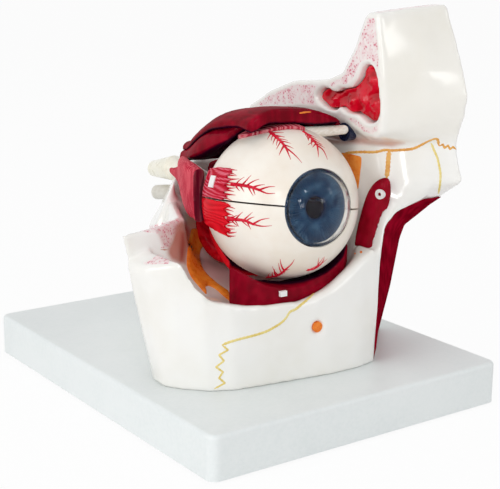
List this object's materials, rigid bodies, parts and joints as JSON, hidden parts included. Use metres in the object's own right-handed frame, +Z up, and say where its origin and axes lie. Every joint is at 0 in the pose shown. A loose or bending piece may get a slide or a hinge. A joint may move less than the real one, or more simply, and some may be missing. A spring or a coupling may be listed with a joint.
{
  "type": "eye anatomy model",
  "caption": "Take-apart anatomy model of a human eye with its muscles in a cut-open bony orbit, on a rectangular base plate.",
  "frame": {"origin": "centre of the base plate's footprint, on the surface it stands on", "axes": "+Z up, -Y the way the eye looks, +X towards the nose"},
  "size_m": [0.175, 0.215, 0.1997],
  "materials": {
    "plate": "satin",
    "rubber": "matte",
    "steel": "satin",
    "bone": "gloss",
    "mucosa": "gloss",
    "dark_mucosa": "gloss",
    "muscle": "gloss",
    "lateral_muscle": "satin",
    "insertion": "gloss",
    "tendon": "gloss",
    "sclera": "gloss",
    "choroid": "matte",
    "nerve": "gloss",
    "nerve_stump": "satin",
    "orange": "matte",
    "pulley": "gloss",
    "tag": "matte",
    "bracket": "satin",
    "iris": "gloss",
    "clear": "gloss",
    "lens": "gloss"
  },
  "bodies": {
    "stand": {"base_plate": "plate", "base_cover": "plate", "base_feet": "rubber", "casting_screws": "steel", "cover_screws": "steel", "maxilla_casting": "bone", "sphenoid_casting": "bone", "nasal_casting": "bone", "frontal_casting": "bone", "frontal_sinus_lining": "mucosa", "nasal_lining": "dark_mucosa", "lacrimal_sac": "dark_mucosa", "sac_tag": "tag", "medial_rectus": "muscle", "inferior_rectus": "muscle", "inferior_oblique": "muscle", "oblique_tag": "tag", "superior_oblique": "muscle", "trochlea": "pulley", "optic_nerve": "nerve", "maxillary_nerve": "nerve_stump", "infraorbital_nerve": "orange", "eyeball_bracket": "bracket"},
    "eyeball": {"lower_sclera": "sclera", "lower_choroid": "choroid", "lateral_insertion_lower": "insertion", "optic_nerve_stub": "nerve", "mounting_pin": "steel", "guide_pins": "steel"},
    "vitreous": {"vitreous_body": "clear"},
    "upper_half": {"upper_sclera": "sclera", "upper_choroid": "choroid", "lateral_insertion_upper": "insertion", "superior_rectus_insertion": "tendon", "oblique_tendon": "tendon", "insertion_tag": "tag"},
    "superior_muscles": {"superior_rectus": "muscle", "levator_palpebrae": "muscle"},
    "lens": {"lens": "lens"},
    "iris": {"iris": "iris"},
    "cornea": {"cornea": "clear"},
    "lateral_muscle": {"lateral_rectus": "lateral_muscle"}
  },
  "joints": [
    {"name": "eyeball_out", "type": "slide", "parent": "stand", "child": "eyeball", "axis": [0, -0.9659, 0.2588], "range_m": [0, 0.14]},
    {"name": "vitreous_out", "type": "slide", "parent": "eyeball", "child": "vitreous", "axis": [0.0091, 0.1041, 0.9945], "range_m": [0, 0.06]},
    {"name": "upper_half_off", "type": "slide", "parent": "vitreous", "child": "upper_half", "axis": [0.0091, 0.1041, 0.9945], "range_m": [0, 0.06]},
    {"name": "superior_muscle_off", "type": "slide", "parent": "upper_half", "child": "superior_muscles", "axis": [0.0091, 0.1041, 0.9945], "range_m": [0, 0.06]},
    {"name": "lens_out", "type": "slide", "parent": "vitreous", "child": "lens", "axis": [-0.0867, -0.9907, 0.1045], "range_m": [0, 0.05]},
    {"name": "iris_out", "type": "slide", "parent": "lens", "child": "iris", "axis": [-0.0867, -0.9907, 0.1045], "range_m": [0, 0.03]},
    {"name": "cornea_off", "type": "slide", "parent": "iris", "child": "cornea", "axis": [-0.0867, -0.9907, 0.1045], "range_m": [0, 0.03]},
    {"name": "lateral_muscle_off", "type": "slide", "parent": "stand", "child": "lateral_muscle", "axis": [-0.4472, 0, 0.8944], "range_m": [0, 0.07]}
  ]
}
